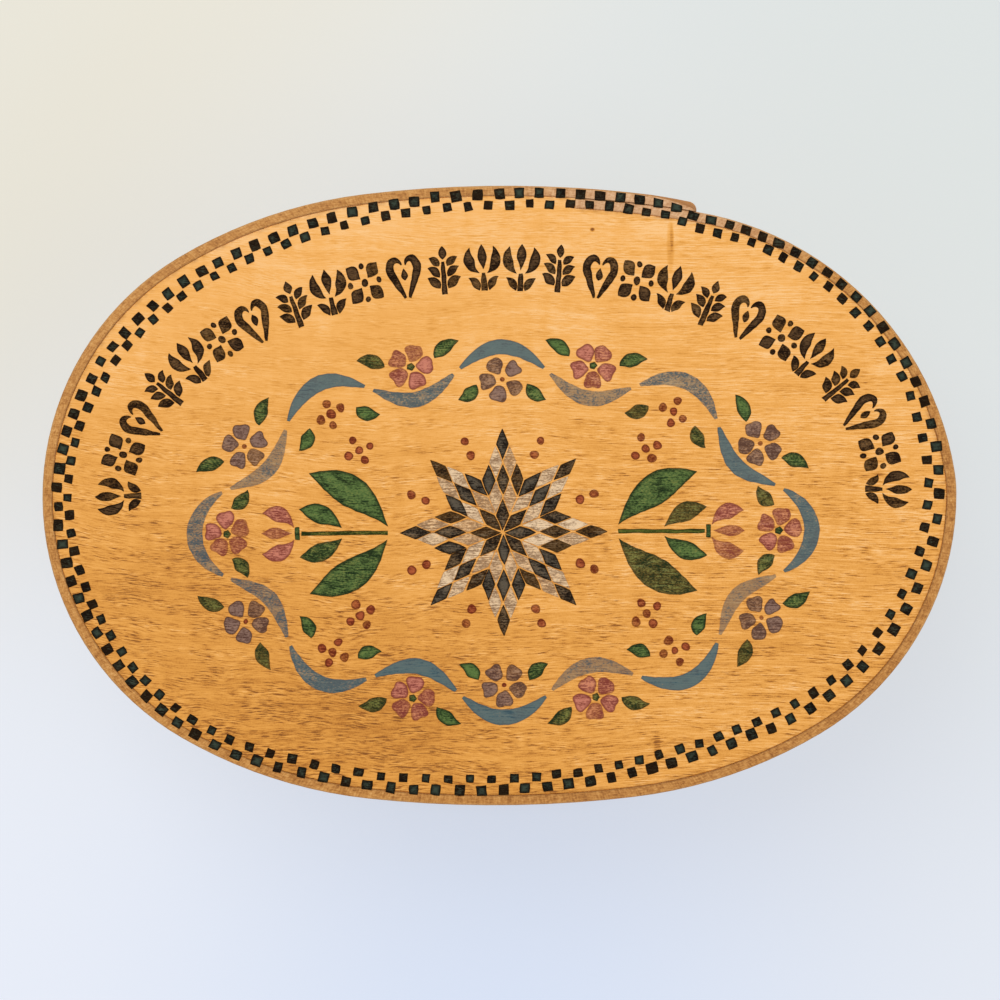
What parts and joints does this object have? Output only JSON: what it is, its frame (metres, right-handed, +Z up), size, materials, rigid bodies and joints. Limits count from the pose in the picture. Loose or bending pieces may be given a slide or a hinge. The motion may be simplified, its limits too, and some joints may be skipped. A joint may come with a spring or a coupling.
{
  "type": "oval lidded box",
  "caption": "Oval lidded box of bent wood: lapped strips with tapered, tacked fingers, oval boards let in flush, and a lid that lifts straight off.",
  "frame": {"origin": "middle of the base, on the surface that the box stands on", "axes": "+X along the oval, +Y across it towards the side where both strips lap, +Z up"},
  "size_m": [0.2744, 0.186, 0.1],
  "materials": {
    "lid_board_wood": "waxed honey-coloured softwood, painted",
    "band_wood": "waxed bent hardwood",
    "bottom_board_wood": "plain softwood",
    "copper": "dulled copper",
    "peg_wood": "end grain, flush"
  },
  "bodies": {
    "box": {"bottom_board": "bottom_board_wood", "box_band": "band_wood", "box_tacks": "copper", "box_pegs": "peg_wood"},
    "lid": {"lid_board": "lid_board_wood", "lid_band": "band_wood", "lid_tacks": "copper", "lid_pegs": "peg_wood"}
  },
  "joints": [
    {"name": "lid_lift", "type": "slide", "parent": "box", "child": "lid", "axis": [0, 0, 1], "range_m": [0, 0.15]}
  ]
}
